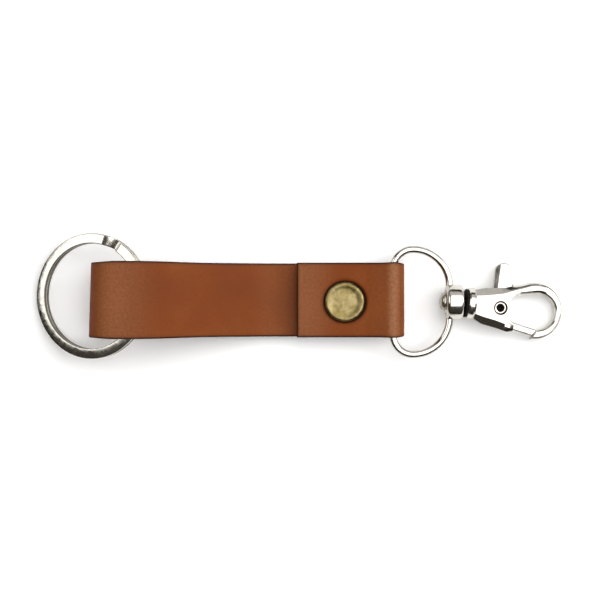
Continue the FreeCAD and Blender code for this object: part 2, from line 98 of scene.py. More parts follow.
def ramp_node(tree, factor, stops):
    """A colour ramp with its stops as (place, colour)."""
    node = add_node(tree, "ShaderNodeValToRGB", {"Fac": factor})
    marks = node.color_ramp.elements
    while len(marks) < len(stops):
        marks.new(1.0)
    for mark, (place, colour) in zip(marks, stops):
        mark.position = place
        mark.color = colour
    return node


def grey(level):
    """A neutral value for a colour socket."""
    return (level, level, level, 1)


def new_material(name):
    material = bpy.data.materials.new(name)
    material.use_nodes = True
    tree = material.node_tree
    return material, tree, tree.nodes["Principled BSDF"]


world = bpy.data.worlds.new("studio_room")
scene.world = world
world.use_nodes = True
room = world.node_tree
way = add_node(room, "ShaderNodeTexCoord")
upward = add_node(room, "ShaderNodeSeparateXYZ", {"Vector": way.outputs["Generated"]})
sky = ramp_node(room, upward.outputs["Z"], [
    (0.0, linear("#141210")), (0.15, linear("#26231f")), (0.5, linear("#4f4b45")), (0.9, linear("#625e57"))])
room_strength, backdrop_glow = 0.6, 1.7
room.nodes["Background"].inputs["Strength"].default_value = room_strength
ray = add_node(room, "ShaderNodeLightPath")
backdrop = add_node(room, "ShaderNodeMix", {
    0: ray.outputs["Is Camera Ray"], 6: sky.outputs["Color"], 7: grey(backdrop_glow)}, data_type="RGBA")
room.links.new(backdrop.outputs[2], room.nodes["Background"].inputs["Color"])


def softbox(name, width, depth, brightness, place, target):
    """A rectangular lamp, in metres, turned to its target. Its energy follows from its brightness."""
    lamp = bpy.data.lights.new(name, "AREA")
    lamp.shape = "RECTANGLE"
    lamp.size, lamp.size_y = width, depth
    lamp.energy = brightness * math.pi * width * depth
    box = bpy.data.objects.new(name, lamp)
    scene.collection.objects.link(box)
    box.location = place
    box.rotation_euler = (Vector(target) - Vector(place)).to_track_quat("-Z", "Y").to_euler()


softbox("overhead_softbox", 0.8, 1.05, 2.5, (0.25, 0.15, 0.75), (0.25, 0.15, 0))
softbox("right_softbox", 0.45, 0.5, 5.6, (0.72, 0.2, 0.5), (0, 0, 0))
softbox("left_panel", 0.6, 0.6, 1.7, (-0.67, 0.2, 0.55), (-0.05, 0, 0))
softbox("back_panel", 1.7, 0.5, 0.6, (0.2, 0.85, 0.55), (0.05, 0, 0))


def to_object(name, metal):
    """A bmesh made into an object of the scene."""
    piece = bpy.data.objects.new(name, bpy.data.meshes.new(name))
    metal.to_mesh(piece.data)
    metal.free()
    scene.collection.objects.link(piece)
    return piece


# The board is a card with a matt white face. It glows for the camera alone, a little near the
# fob and fully far from it, so that it meets the white backdrop and lights nothing.
board_half, board_drop = 0.9, 0.03 * MM
card = bmesh.new()
bmesh.ops.create_grid(card, x_segments=1, y_segments=1, size=board_half)
bmesh.ops.translate(card, verts=card.verts, vec=(0, 0, -board_drop))
board = to_object("white_board", card)
paper, tree, shader = new_material("matt_white_card")
shader.inputs["Base Color"].default_value = linear("#ffffff")
shader.inputs["Roughness"].default_value = 0.9
shader.inputs["Specular IOR Level"].default_value = 0.1
ray = add_node(tree, "ShaderNodeLightPath")
spot = add_node(tree, "ShaderNodeTexCoord")
distance = add_node(tree, "ShaderNodeVectorMath", {0: spot.outputs["Object"]}, operation="LENGTH")
far = ramp_node(tree, distance.outputs["Value"], [(0.1, grey(0.12)), (0.5, grey(1))])
glow = add_node(tree, "ShaderNodeMath", {0: ray.outputs["Is Camera Ray"], 1: far.outputs["Color"]},
                operation="MULTIPLY")
tree.links.new(glow.outputs[0], shader.inputs["Emission Strength"])
shader.inputs["Emission Color"].default_value = grey(1)
board.data.materials.append(paper)

# ---- Leather strap --------------------------------------------------------------------
# One strip of vegetable-tanned leather, 1.6 mm thick, cut flat, its edges rounded and
# burnished dark, then folded round the split ring on the left and the eye's bar on the right.


def joint_named(name):
    """The record of one of the fob's joints."""
    return [joint for joint in frame["joints"] if joint["name"] == name][0]


main_low, main_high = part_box("strap_main")
flap_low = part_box("strap_flap")[0]
strap_middle = (main_low.y + main_high.y) / 2
leather_thick = 1.6 * MM
half_width = (main_high.y - main_low.y) / 2
edge_round = 0.42 * MM
dye_start, dye_fade = 0.1 * MM, 0.6 * MM
cell = 0.5 * MM
route_step = 0.2 * MM
uv_unit = 10 * MM
bar_along = main_high.x
hinge = Vector(joint_named("flap_fold")["pos_m"])
fold_radius = 2.2 * MM
layer_gap = 0.1 * MM
lower_level = leather_thick / 2
middle_level = leather_thick * 1.5 + layer_gap
flap_level = flap_low.z + leather_thick / 2
stud_place = (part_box("snap_stud")[0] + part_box("snap_stud")[1]) / 2


def ease(value, low, high):
    """Runs smoothly from 0 at low to 1 at high."""
    part = min(1.0, max(0.0, (value - low) / (high - low)))
    return part * part * (3 - 2 * part)


def rounded_route(corners, easing):
    """Points a step apart along straight runs and arcs; easing passes soften where they join."""
    raw = [Vector(corners[0][:2])]
    for (bx, bz, _), (x, z, radius), (ax, az, _) in zip(corners, corners[1:], corners[2:]):
        at = Vector((x, z))
        into, out = (at - Vector((bx, bz))).normalized(), (Vector((ax, az)) - at).normalized()
        turn = math.atan2(into.x * out.y - into.y * out.x, into.dot(out))
        start = at - into * radius * math.tan(abs(turn) / 2)
        side = math.copysign(1, turn)
        centre = start + Vector((-into.y, into.x)) * radius * side
        steps = max(4, round(abs(turn) * radius / route_step))
        for index in range(steps + 1):
            raw.append(centre + Matrix.Rotation(turn * index / steps, 2) @ (start - centre))
    raw.append(Vector(corners[-1][:2]))
    even, spare = [raw[0]], 0.0
    for start, end in zip(raw, raw[1:]):
        run = (end - start).length
        while spare + run >= route_step:
            start = start + (end - start).normalized() * (route_step - spare)
            run = (end - start).length
            spare = 0.0
            even.append(start)
        spare += run
    for _ in range(easing):
        even = [even[0]] + [(a + b * 2 + c) / 4 for a, b, c in zip(even, even[1:], even[2:])] + [even[-1]]
    return even


def fold_strip(name, corners, easing, outside, far_end_round, width_at, sheen_at):
    """A flat strip with rounded edges, bent along its route. outside is the side of the grain."""
    route = rounded_route(corners, easing)
    length = (len(route) - 1) * route_step
    strip = bmesh.new()
    bmesh.ops.create_grid(strip, x_segments=round(length / cell), y_segments=round(2 * half_width / cell),
                          size=0.5)
    bmesh.ops.scale(strip, verts=strip.verts, vec=(length, 2 * half_width, 1))
    bmesh.ops.translate(strip, verts=strip.verts, vec=(length / 2, 0, leather_thick / 2))
    bmesh.ops.solidify(strip, geom=strip.faces[:], thickness=leather_thick)
    bmesh.ops.recalc_face_normals(strip, faces=strip.faces[:])
    rims = [edge for edge in strip.edges
            if edge.is_manifold and edge.calc_face_angle() > 1.0
            and abs(edge.verts[0].co.z) > leather_thick * 0.4
            and abs(edge.verts[0].co.z - edge.verts[1].co.z) < cell / 10
            and max(v.co.x for v in edge.verts) > cell / 2
            and (far_end_round or min(v.co.x for v in edge.verts) < length - cell / 2)]
    bmesh.ops.bevel(strip, geom=rims, offset=edge_round, segments=3, affect="EDGES", profile=0.5, material=-1)
    uv = strip.loops.layers.uv.new("flat_strip")
    for face in strip.faces:
        face.smooth = True
        for loop in face.loops:
            loop[uv].uv = (loop.vert.co.x / uv_unit, loop.vert.co.y / uv_unit + 3 * outside)
    rim = strip.verts.layers.float.new("rim")
    # Painted highlight: this layer holds how much paler the grain is painted at each point, as sheen.
    painted_sheen = strip.verts.layers.float.new("painted_sheen")
    flesh = strip.verts.layers.float.new("flesh")
    for vert in strip.verts:
        along, across, up = vert.co
        inset = half_width - abs(across)
        if far_end_round:
            inset = min(inset, length - along)
        vert[rim] = 1 - ease(inset, dye_start, dye_start + dye_fade)
        vert[flesh] = 1.0 if up < -leather_thick * 0.45 else 0.0
        place = min(max(along, 0.0), length) / route_step
        low = min(int(place), len(route) - 2)
        part = place - low
        before, after = route[max(low - 1, 0)], route[min(low + 2, len(route) - 1)]
        heading = (after - before).normalized()
        at = route[low].lerp(route[low + 1], part)
        over = at + Vector((-heading.y, heading.x)) * up * outside
        vert[painted_sheen] = sheen_at(at.x, at.y)
        across = across * width_at(at.x, at.y)
        vert.co = (over.x, strap_middle + across, over.y)
    if strip.calc_volume(signed=True) < 0:
        bmesh.ops.reverse_faces(strip, faces=strip.faces[:])
    return to_object(name, strip), length


def press_in(piece, over, low, high, radius, soft, depth):
    """The leather gives way under a pressed disc: a round dent with a soft shoulder."""
    for vert in piece.data.vertices:
        if low < vert.co.z < high:
            away = math.hypot(vert.co.x - over.x, vert.co.y - over.y)
            vert.co.z += depth * (1 - ease(away, radius, radius + soft))


loop_radius, loop_inset = 4.8 * MM, 0.6 * MM
loop_left = main_low.x + leather_thick / 2 + loop_inset
loop_top = main_high.z - leather_thick / 2
slope_start, slope_angle = -36.5 * MM, math.radians(27)
slope_run = (loop_top - middle_level) / math.tan(slope_angle)
slope_top_radius, slope_foot_radius, climb_radius = 26 * MM, 20 * MM, 20 * MM
climb = math.radians(10.1)
middle_end = 17 * MM
loop_skew, skew_run = 0.03, 12 * MM
post_head_radius, post_head_sink = 3.95 * MM, 0.42 * MM
dent_shoulder, dent_height = 0.5 * MM, 0.45 * MM
loop_foot = loop_top - loop_radius - loop_radius * math.tan((math.pi / 2 - climb) / 2)
climb_start = loop_left + (loop_foot - lower_level) / math.tan(climb)
ramp_start, ramp_end, ramp_radius = 18.2 * MM, 22.8 * MM, 3.5 * MM


def main_width(along, level):
    """Widest behind the left loop, drawn in at the loop itself and towards the middle."""
    bend = 1 - ease(along, loop_left, loop_left + 6 * MM)
    return 1.0 - 0.03 * bend - 0.036 * ease(along, -42 * MM, -22 * MM)


def main_painted_sheen(along, level):
    """Painted highlight: the grain is painted paler over the top of the left loop and along the flat run
    before the flap, where light catches the leather.
    """
    top = ease(level, loop_top - 3 * MM, loop_top - 0.5 * MM)
    loop = 0.8 * top * ease(along, loop_left, loop_left + 4 * MM) * (1 - ease(along, -46 * MM, -34 * MM))
    return loop + 0.25 * ease(along, -14 * MM, -6 * MM)


strap_leather = fold_strip("strap_leather", [
    (bar_along, hinge.z - fold_radius, 0), (ramp_end, hinge.z - fold_radius, ramp_radius / 2),
    (ramp_start, lower_level, ramp_radius), (climb_start, lower_level, climb_radius),
    (loop_left, loop_foot, loop_radius), (loop_left, loop_top, loop_radius),
    (slope_start, loop_top, slope_top_radius), (slope_start + slope_run, middle_level, slope_foot_radius),
    (middle_end, middle_level, 0)], 20, 1, True, main_width, main_painted_sheen)[0]
for vert in strap_leather.data.vertices:
    near = 1 - ease(vert.co.x, loop_left, loop_left + skew_run)
    vert.co.x += loop_skew * (vert.co.y - strap_middle) * near
press_in(strap_leather, stud_place, -leather_thick, dent_height, post_head_radius, dent_shoulder,
         post_head_sink)
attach(strap_leather, "strap")
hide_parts("strap_main")


fold_draw_start = bar_along + 0.6 * MM
cap_dent_radius, cap_dent = 5.35 * MM, 0.42 * MM


def flap_width(along, level):
    """Nearly full width along the flap, drawn in where it turns round the bar."""
    swell = 0.012 * ease(along, bar_along - 3 * MM, bar_along)
    return 0.978 + swell - 0.03 * ease(along, fold_draw_start, bar_along + fold_radius)


def flap_painted_sheen(along, level):
    """Painted highlight: the grain is painted paler in a narrow band along the top of the right fold and near
    the flap's end, where light catches it.
    """
    rise = ease(along, ramp_end - 0.8 * MM, ramp_end + 1.1 * MM)
    band = 1.3 * rise * (1 - ease(along, bar_along + 0.2 * MM, bar_along + 1.6 * MM)) * (level > hinge.z)
    end = 0.75 * (1 - ease(along, flap_low.x + 2 * MM, flap_low.x + 12 * MM))
    return band + end + 0.3 * ease(along, ramp_start - 3 * MM, ramp_start + 2 * MM)


flap_leather, flap_length = fold_strip("flap_leather", [
    (bar_along, hinge.z - fold_radius, 0), (bar_along + fold_radius, hinge.z - fold_radius, fold_radius),
    (bar_along + fold_radius, hinge.z + fold_radius, fold_radius),
    (ramp_end + 0.4 * MM, hinge.z + fold_radius, ramp_radius),
    (ramp_start - 1.0 * MM, flap_level, ramp_radius * 2),
    (flap_low.x, flap_level, 0)], 6, -1, True, flap_width, flap_painted_sheen)
press_in(flap_leather, stud_place, flap_level, flap_level + leather_thick, cap_dent_radius, dent_shoulder,
         -cap_dent)
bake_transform(flap_leather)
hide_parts("strap_fold", "strap_flap")

# Vegetable-tanned cowhide, dyed cognac and lightly waxed: a soft satin surface whose colour
# clouds over a centimetre or so, with fine pores. The grain is 0.6 mm, as coarse as shows.
# The UV map is the flat strip in centimetres, so every scale here is a count in a centimetre.
grain_width = 0.6 * MM
leather, tree, shader = new_material("vegetable_tanned_leather")
flat = add_node(tree, "ShaderNodeUVMap", uv_map="flat_strip")
clouds = add_node(tree, "ShaderNodeTexNoise", {
    "Vector": flat.outputs["UV"], "Scale": 0.8, "Detail": 3.0, "Roughness": 0.5})
mottle = add_node(tree, "ShaderNodeTexNoise", {
    "Vector": flat.outputs["UV"], "Scale": 14.0, "Detail": 4.0, "Roughness": 0.6})
grain = add_node(tree, "ShaderNodeTexVoronoi", {
    "Vector": flat.outputs["UV"], "Scale": uv_unit / grain_width, "Randomness": 1.0},
                 feature="DISTANCE_TO_EDGE")
fibre = add_node(tree, "ShaderNodeTexNoise", {
    "Vector": flat.outputs["UV"], "Scale": 42.0, "Detail": 4.0, "Roughness": 0.65})
tone = add_node(tree, "ShaderNodeMix", {0: 0.35, 2: clouds.outputs["Fac"], 3: mottle.outputs["Fac"]})
dye = ramp_node(tree, tone.outputs[0], [
    (0.3, linear("#70340c")), (0.5, linear("#78390d")), (0.72, linear("#804316"))])
pores = ramp_node(tree, grain.outputs["Distance"], [(0.0, grey(0.72)), (0.1, grey(1))])
skin = add_node(tree, "ShaderNodeMix", {0: 0.35, 6: dye.outputs["Color"], 7: pores.outputs["Color"]},
                data_type="RGBA", blend_type="MULTIPLY")
# Painted highlight: the leather is mixed towards a pale tan where this layer marks sheen on its curves.
sheen_mask = add_node(tree, "ShaderNodeAttribute", attribute_name="painted_sheen")
sheen_amount = add_node(tree, "ShaderNodeMath", {
    0: sheen_mask.outputs["Fac"], 1: mottle.outputs["Fac"]}, operation="MULTIPLY")
with_painted_sheen = add_node(tree, "ShaderNodeMix", {
    0: sheen_amount.outputs[0], 6: skin.outputs[2], 7: linear("#936445")}, data_type="RGBA")
back = add_node(tree, "ShaderNodeAttribute", attribute_name="flesh")
nap = ramp_node(tree, fibre.outputs["Fac"], [(0.35, linear("#6b3f26")), (0.65, linear("#8a5c3e"))])
hide = add_node(tree, "ShaderNodeMix", {
    0: back.outputs["Fac"], 6: with_painted_sheen.outputs[2], 7: nap.outputs["Color"]}, data_type="RGBA")
edge = add_node(tree, "ShaderNodeAttribute", attribute_name="rim")
cap_uv = ((flap_length - (stud_place.x - flap_low.x)) / uv_unit,
          (stud_place.y - strap_middle) / uv_unit - 3, 0)
from_cap = add_node(tree, "ShaderNodeVectorMath", {0: flat.outputs["UV"], 1: cap_uv}, operation="DISTANCE")
# Painted shade: a dark ring is painted on the flap just round the cap's edge, where shade falls under the
# cap.
cap_ring_shade = ramp_node(tree, from_cap.outputs["Value"], [
    (0.5, grey(1)), (0.545, grey(0.9)), (0.58, grey(0.12)), (0.66, grey(0))])
# The dark edge dye and the painted shade round the cap share one dark colour.
dark = add_node(tree, "ShaderNodeMath", {
    0: edge.outputs["Fac"], 1: cap_ring_shade.outputs["Color"]}, operation="MAXIMUM")
edge_dye_and_cap_shade = add_node(tree, "ShaderNodeMix", {
    0: dark.outputs[0], 6: hide.outputs[2], 7: linear("#24100a")}, data_type="RGBA")
tree.links.new(edge_dye_and_cap_shade.outputs[2], shader.inputs["Base Color"])
wax = ramp_node(tree, mottle.outputs["Fac"], [(0.3, grey(0.42)), (0.7, grey(0.56))])
matt = add_node(tree, "ShaderNodeMix", {
    0: back.outputs["Fac"], 6: wax.outputs["Color"], 7: grey(0.85)}, data_type="RGBA")
tree.links.new(matt.outputs[2], shader.inputs["Roughness"])
relief = add_node(tree, "ShaderNodeMix", {0: 0.5, 2: fibre.outputs["Fac"], 3: pores.outputs["Color"]})
bump = add_node(tree, "ShaderNodeBump", {
    "Height": relief.outputs[0], "Strength": 0.45, "Distance": 0.06 * MM})
tree.links.new(bump.outputs["Normal"], shader.inputs["Normal"])
shader.inputs["Specular IOR Level"].default_value = 0.11
for piece in (strap_leather, flap_leather):
    piece.data.materials.append(leather)

# ---- Press stud -----------------------------------------------------------------------
# A stamped brass cap, antique finished: the rim is rolled over and rubbed bright, the middle
# is slightly dished and scuffed. Its post, socket, stud and eyelet post are turned brass.

cap_low, cap_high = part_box("snap_cap")
cap_place = (cap_low + cap_high) / 2
cap_radius = (cap_high.x - cap_low.x) / 2


def turned(name, profile, place, steps):
    """A turned piece: a profile of (radius, level) points spun a full turn about its axis."""
    lathe = bmesh.new()
    points = [lathe.verts.new((radius, 0, level)) for radius, level in profile]
    lines = [lathe.edges.new(pair) for pair in zip(points, points[1:])]
    bmesh.ops.spin(lathe, geom=points + lines, cent=(0, 0, 0), axis=(0, 0, 1), angle=2 * math.pi,
                   steps=steps, use_merge=True)
    bmesh.ops.remove_doubles(lathe, verts=lathe.verts[:], dist=0.001 * MM)
    bmesh.ops.recalc_face_normals(lathe, faces=lathe.faces[:])
    for face in lathe.faces:
        face.smooth = True
    lathe.transform(place)
    return to_object(name, lathe)


def arc_points(centre, radius, first, last, steps):
    """Points on an arc, angles in degrees."""
    turns = [math.radians(first + (last - first) * index / steps) for index in range(steps + 1)]
    return [(centre[0] + radius * math.cos(a), centre[1] + radius * math.sin(a)) for a in turns]


rim_roll = 0.62 * MM
dish = 0.24 * MM
cap_profile = [(0, cap_low.z), (cap_radius - 0.7 * MM, cap_low.z)]
cap_profile += arc_points((cap_radius - rim_roll, cap_high.z - rim_roll), rim_roll, -60, 100, 14)
cap_profile += [(cap_radius - 1.25 * MM, cap_high.z - 0.1 * MM), (cap_radius - 1.55 * MM, cap_high.z - dish),
                (cap_radius - 2.2 * MM, cap_high.z - dish * 1.15), (cap_radius / 2, cap_high.z - dish * 1.05),
                (cap_radius / 4, cap_high.z - dish * 0.95), (0, cap_high.z - dish * 0.9)]
stud_axis = Matrix.Translation((cap_place.x, cap_place.y, 0))
brass_cap = turned("brass_cap", cap_profile, stud_axis, 96)
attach(brass_cap, "flap")
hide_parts("snap_cap")

# Antique brass: stamped sheet brass toned green-brown, then relieved so that the raised rim
# shines. Its patina blotches are about 2 mm across and its scuffs run about 0.3 mm wide.
blotch_size, scuff_size = 2.2 * MM, 0.35 * MM
brass, tree, shader = new_material("antique_brass")
place = add_node(tree, "ShaderNodeTexCoord")
blotch = add_node(tree, "ShaderNodeTexNoise", {
    "Vector": place.outputs["Object"], "Scale": 1 / blotch_size, "Detail": 5.0, "Roughness": 0.6,
    "Distortion": 0.6})
scuff_map = add_node(tree, "ShaderNodeMapping", {
    "Vector": place.outputs["Object"], "Rotation": (0, 0, 0.6), "Scale": (1.0, 0.25, 1.0)})
scuff = add_node(tree, "ShaderNodeTexNoise", {
    "Vector": scuff_map.outputs["Vector"], "Scale": 1 / scuff_size, "Detail": 4.0, "Roughness": 0.7})
patina = ramp_node(tree, blotch.outputs["Fac"], [
    (0.3, linear("#62562f")), (0.5, linear("#807249")), (0.68, linear("#9f9069"))])
tree.links.new(patina.outputs["Color"], shader.inputs["Base Color"])
shader.inputs["Metallic"].default_value = 1.0
dull = add_node(tree, "ShaderNodeMix", {0: 0.5, 2: blotch.outputs["Fac"], 3: scuff.outputs["Fac"]})
rubbed = ramp_node(tree, dull.outputs[0], [(0.35, grey(0.26)), (0.65, grey(0.5))])
tree.links.new(rubbed.outputs["Color"], shader.inputs["Roughness"])
bump = add_node(tree, "ShaderNodeBump", {"Height": dull.outputs[0], "Strength": 0.5, "Distance": 0.05 * MM})
tree.links.new(bump.outputs["Normal"], shader.inputs["Normal"])
brass_cap.data.materials.append(brass)


def refinish(node, material):
    """A CAD part keeps its mesh and takes a better finish."""
    part = frame["nodes"][node]
    part.data.materials.clear()
    part.data.materials.append(material)


for node in ("snap_cap_post", "snap_socket", "snap_stud", "snap_post"):
    refinish(node, brass)

# ---- Split ring -----------------------------------------------------------------------
# Flat spring wire, nickel plated, wound twice into a 32 mm ring. The lower coil rises to the
# upper one over a short jog, and the wire's cut end shows just before it.

ring_tilt = math.radians(22.5)
ring_along = -52.8 * MM
ring_outer, wire_width, wire_thick, wire_slit = 16 * MM, 2.6 * MM, 1.16 * MM, 0.08 * MM
wire_fall, wire_round = 0.3 * MM, 0.24 * MM
jog_start, jog_length, jog_gap = 59.5, 19.0, 1.3
coil_steps, jog_steps = 110, 20
wall_shade_start, wall_shade_end = 0.02 * MM, 0.2 * MM
ring_centre = Vector((ring_along, 0, ring_outer * math.sin(ring_tilt)
                      + (wire_thick + wire_slit / 2) * math.cos(ring_tilt)))

wire = bmesh.new()
ring_inner = ring_outer - wire_width
lower = -wire_thick - wire_slit / 2
wire_start = math.radians(jog_start + jog_length + jog_gap)
section = [wire.verts.new(corner) for corner in (
    (ring_inner, 0, lower), (ring_outer, 0, lower + wire_fall / 2),
    (ring_outer, 0, lower + wire_thick - wire_fall), (ring_inner, 0, lower + wire_thick))]
wire.faces.new(section)
bmesh.ops.bevel(wire, geom=section, offset=wire_round, segments=4, affect="VERTICES", profile=0.5,
                material=-1)
bmesh.ops.rotate(wire, verts=wire.verts, cent=(0, 0, 0), matrix=Matrix.Rotation(wire_start, 3, "Z"))
last = wire.faces[:] + wire.edges[:] + wire.verts[:]
coil = 360 - jog_length - jog_gap
jog = []
for index in range(jog_steps):
    rise = ease((index + 1) / jog_steps, 0, 1) - ease(index / jog_steps, 0, 1)
    jog.append((jog_length / jog_steps, 1, rise * (wire_thick + wire_slit)))
for sweep, steps, rise in [(coil, coil_steps, 0.0)] + jog + [(coil, coil_steps, 0.0)]:
    made = bmesh.ops.spin(wire, geom=last, cent=(0, 0, 0), axis=(0, 0, 1), dvec=(0, 0, rise / steps),
                          angle=math.radians(sweep), steps=steps, use_merge=False)
    last = made["geom_last"]
bmesh.ops.remove_doubles(wire, verts=wire.verts[:], dist=0.001 * MM)
bmesh.ops.recalc_face_normals(wire, faces=wire.faces[:])
for face in wire.faces:
    face.smooth = True
# Painted shade: the ring's inner wall is marked to take a darker grey, standing in for the shaded floor it
# reflects.
inner_wall_shade_layer = wire.verts.layers.float.new("inner_wall_shade")
for vert in wire.verts:
    inset = math.hypot(vert.co.x, vert.co.y) - ring_inner
    vert[inner_wall_shade_layer] = 1 - ease(inset, wall_shade_start, wall_shade_end)
wire.transform(Matrix.Translation(ring_centre) @ Matrix.Rotation(-ring_tilt, 4, "Y"))
split_ring = to_object("nickel_split_ring", wire)
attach(split_ring, "ring")
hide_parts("split_ring")


ripple_size = 1.6 * MM


def plated(name, colour, smooth, rough, ripple, cloud, raw=None):
    """Polished nickel plate: a clear mirror, rubbed slightly dull in clouds, over a faint ripple.
    Where the vertex attribute read below is 1 the metal takes the darker colour raw, as painted shade. cloud
    is in metres."""
    material, tree, shader = new_material(name)
    place = add_node(tree, "ShaderNodeTexCoord")
    wear = add_node(tree, "ShaderNodeTexNoise", {
        "Vector": place.outputs["Object"], "Scale": 1 / cloud, "Detail": 5.0, "Roughness": 0.6})
    hazy = ramp_node(tree, wear.outputs["Fac"], [(0.35, grey(smooth)), (0.7, grey(rough))])
    tint = ramp_node(tree, wear.outputs["Fac"], [
        (0.3, linear(colour)), (0.75, tuple(c * 0.86 for c in linear(colour)[:3]) + (1,))])
    surface = tint.outputs["Color"]
    if raw:
        edge = add_node(tree, "ShaderNodeAttribute", attribute_name="inner_wall_shade")
        wall_shade_mix = add_node(tree, "ShaderNodeMix", {
            0: edge.outputs["Fac"], 6: surface, 7: linear(raw)}, data_type="RGBA")
        surface = wall_shade_mix.outputs[2]
    tree.links.new(surface, shader.inputs["Base Color"])
    tree.links.new(hazy.outputs["Color"], shader.inputs["Roughness"])
    waves = add_node(tree, "ShaderNodeTexNoise", {
        "Vector": place.outputs["Object"], "Scale": 1 / ripple_size, "Detail": 2.0, "Roughness": 0.4})
    bump = add_node(tree, "ShaderNodeBump", {"Height": waves.outputs["Fac"], "Strength": ripple,
                                             "Distance": 0.05 * MM})
    tree.links.new(bump.outputs["Normal"], shader.inputs["Normal"])
    shader.inputs["Metallic"].default_value = 1.0
    return material


# Nickel plate over drawn steel wire: bright and a little warm, with drawing marks as a ripple. Its last
# colour is a darker grey painted on the ring's inner wall as shade.
nickel_wire = plated("nickel_plated_steel", "#dedad0", 0.1, 0.24, 0.5, 1.5 * MM, "#6f6c62")
split_ring.data.materials.append(nickel_wire)

# ---- Swivel eye -----------------------------------------------------------------------
# Cast zinc alloy, nickel plated: a 2 mm wire bent to a D, in one with the barrel-shaped
# collar that the hook's rivet turns in. Its straight bar sits in the strap's right fold.

eye_pitch = math.radians(2.4)
eye_place = Matrix.Translation(joint_named("eye_swing")["pos_m"]) @ Matrix.Rotation(eye_pitch, 4, "Y")
wire_radius, eye_half, eye_corner, eye_reach = 1.0 * MM, 13.45 * MM, 5.2 * MM, 14.6 * MM
eye_shoulder = eye_reach - eye_corner
arm_end = 3.4 * MM

eye = bmesh.new()
bmesh.ops.create_circle(eye, cap_ends=True, segments=24, radius=wire_radius,
                        matrix=Matrix.Translation((eye_reach, arm_end, 0))
                        @ Matrix.Rotation(math.pi / 2, 4, "X"))
last = eye.faces[:] + eye.edges[:] + eye.verts[:]


def run_on(metal, geometry, step):
    """Pushes the metal straight on from its last faces."""
    ends = [item for item in geometry if isinstance(item, bmesh.types.BMFace)]
    made = bmesh.ops.extrude_face_region(metal, geom=ends)["geom"]
    moved = [item for item in made if isinstance(item, bmesh.types.BMVert)]
    bmesh.ops.translate(metal, verts=moved, vec=step)
    return made


def bend_round(metal, geometry, centre, degrees, steps):
    """Carries the wire's end round a centre."""
    made = bmesh.ops.spin(metal, geom=geometry, cent=centre, axis=(0, 0, 1), angle=math.radians(degrees),
                          steps=steps, use_merge=False)
    return made["geom_last"]


def lathed(profile):
    """A ring of metal turned about the X axis, from a closed profile of (radius, along) in millimetres."""
    lathe = bmesh.new()
    points = [lathe.verts.new((along * MM, radius * MM, 0)) for radius, along in profile]
    lines = [lathe.edges.new(pair) for pair in zip(points, points[1:])]
    bmesh.ops.spin(lathe, geom=points + lines, cent=(0, 0, 0), axis=(1, 0, 0), angle=2 * math.pi, steps=72,
                   use_merge=True)
    bmesh.ops.remove_doubles(lathe, verts=lathe.verts[:], dist=0.001 * MM)
    bmesh.ops.recalc_face_normals(lathe, faces=lathe.faces[:])
    return lathe


def join_in(metal, other):
    """Adds another piece of metal to a casting."""
    carrier = bpy.data.meshes.new("carrier")
    other.to_mesh(carrier)
    other.free()
    metal.from_mesh(carrier)
    bpy.data.meshes.remove(carrier)


last = run_on(eye, last, (0, eye_half - eye_shoulder - arm_end, 0))
last = bend_round(eye, last, (eye_corner, eye_half - eye_shoulder, 0), 90, 28)
last = bend_round(eye, last, (eye_corner, eye_half - eye_corner, 0), 90, 20)
last = run_on(eye, last, (0, -2 * (eye_half - eye_corner), 0))
last = bend_round(eye, last, (eye_corner, -eye_half + eye_corner, 0), 90, 20)
last = bend_round(eye, last, (eye_corner, -eye_half + eye_shoulder, 0), 90, 28)
last = run_on(eye, last, (0, eye_half - eye_shoulder - arm_end, 0))
bmesh.ops.remove_doubles(eye, verts=eye.verts[:], dist=0.001 * MM)
left_inside = [face for face in eye.faces if all(len(edge.link_faces) > 2 for edge in face.edges)]
bmesh.ops.delete(eye, geom=left_inside, context="FACES_ONLY")

collar_profile = [(1.85, 14.2), (3.1, 14.2), (3.1, 13.75), (3.25, 13.6), (3.9, 13.62), (4.3, 13.85),
                  (4.5, 14.3), (4.55, 15.0), (4.55, 16.6), (4.5, 17.3), (4.35, 17.7), (4.0, 17.88),
                  (3.3, 17.9), (2.0, 17.9), (1.85, 17.75), (1.85, 14.2)]
join_in(eye, lathed(collar_profile))
bmesh.ops.recalc_face_normals(eye, faces=eye.faces[:])
for face in eye.faces:
    face.smooth = True
eye.transform(eye_place)
swivel_eye = to_object("cast_swivel_eye", eye)
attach(swivel_eye, "eye")
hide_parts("swivel_eye")

# Nickel plate over a zinc casting: softer edges and a slightly wavy mirror.
nickel_cast = plated("nickel_plated_zinc", "#dcd8cf", 0.1, 0.26, 0.55, 2.5 * MM)
swivel_eye.data.materials.append(nickel_cast)

# ---- Snap hook ------------------------------------------------------------------------
# One zinc casting, nickel plated: a flanged neck, a wedge-shaped block with a slot for the
# gate, and a finger bent round to the nose. The block's flat face is chamfered all round.

hook_turn, hook_pitch = math.radians(-5.0), math.radians(5.9)
hook_place = (Matrix.Translation(joint_named("hook_swivel")["pos_m"]) @ Matrix.Rotation(hook_turn, 4, "Z")
              @ Matrix.Rotation(hook_pitch, 4, "Y"))
finger_half, root_swell, shoulder_steps = 1.7, 0.3, 4
finger_shoulder = (1.05, 1.0, 1.1)
pin_middle = Vector((11.69, -0.5))
outer_middle, outer_radius = Vector((20.9, -0.5)), 7.35
inner_middle, inner_radius = Vector((21.68, -0.66)), 4.57


